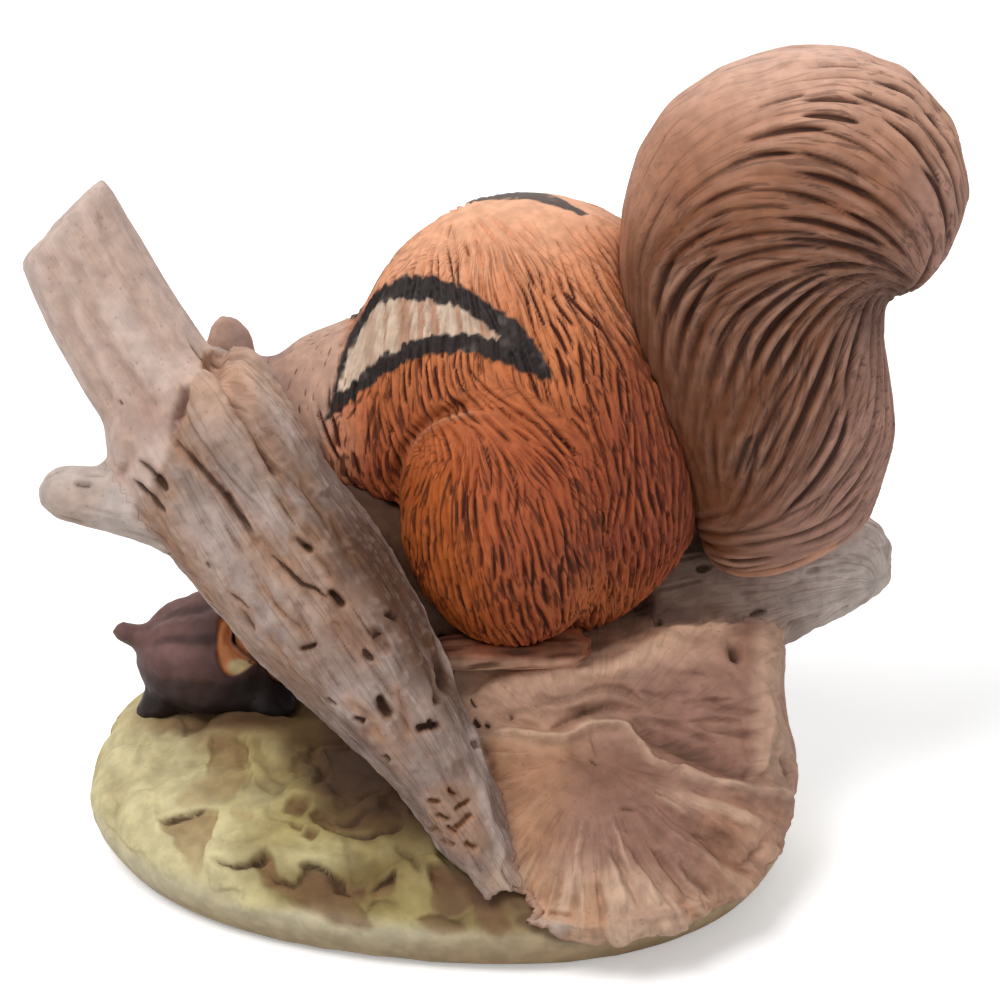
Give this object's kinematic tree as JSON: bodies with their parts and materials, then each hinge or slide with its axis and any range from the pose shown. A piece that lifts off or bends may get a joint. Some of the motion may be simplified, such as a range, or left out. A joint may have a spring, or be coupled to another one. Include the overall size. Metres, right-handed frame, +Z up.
{
  "type": "chipmunk figurine",
  "caption": "Bisque porcelain chipmunk crouched on a leaning piece of driftwood, on a mossy base with a nut in its husk.",
  "frame": {"origin": "on the flat underside of the base, under the middle of the figurine", "axes": "+Z up, +X along the long side of the base towards the tail, +Y away from the viewer who sees the animal's left side"},
  "size_m": [0.124, 0.0839, 0.1159],
  "materials": {
    "moss_bisque": "matt bisque, pale yellow-green wash with brown in the hollows",
    "wood_bisque": "matt bisque, pinkish grey driftwood with brown stains",
    "fur_bisque": "matt bisque, rust-orange fur with dark brown wash in the strokes",
    "tail_bisque": "matt bisque, warm brown fur with a dark wash in the strokes",
    "skin_bisque": "matt bisque, mauve-brown skin of ears and feet",
    "husk_bisque": "matt bisque, dark purple-brown husk",
    "nut_bisque": "matt bisque, orange-tan nut with a cream scar"
  },
  "bodies": {
    "root": {"mossy_base": "moss_bisque", "driftwood_trunk": "wood_bisque", "root_stump": "wood_bisque", "saddle_limb": "wood_bisque", "side_twig": "wood_bisque", "branch_stub": "wood_bisque", "tail": "tail_bisque", "torso": "fur_bisque", "head": "fur_bisque", "ear_left": "skin_bisque", "ear_right": "skin_bisque", "thigh_left": "fur_bisque", "thigh_right": "fur_bisque", "hind_foot_left": "skin_bisque", "hind_foot_right": "skin_bisque", "foreleg_left": "fur_bisque", "foreleg_right": "fur_bisque", "nut": "nut_bisque", "nut_husk": "husk_bisque"}
  },
  "joints": []
}
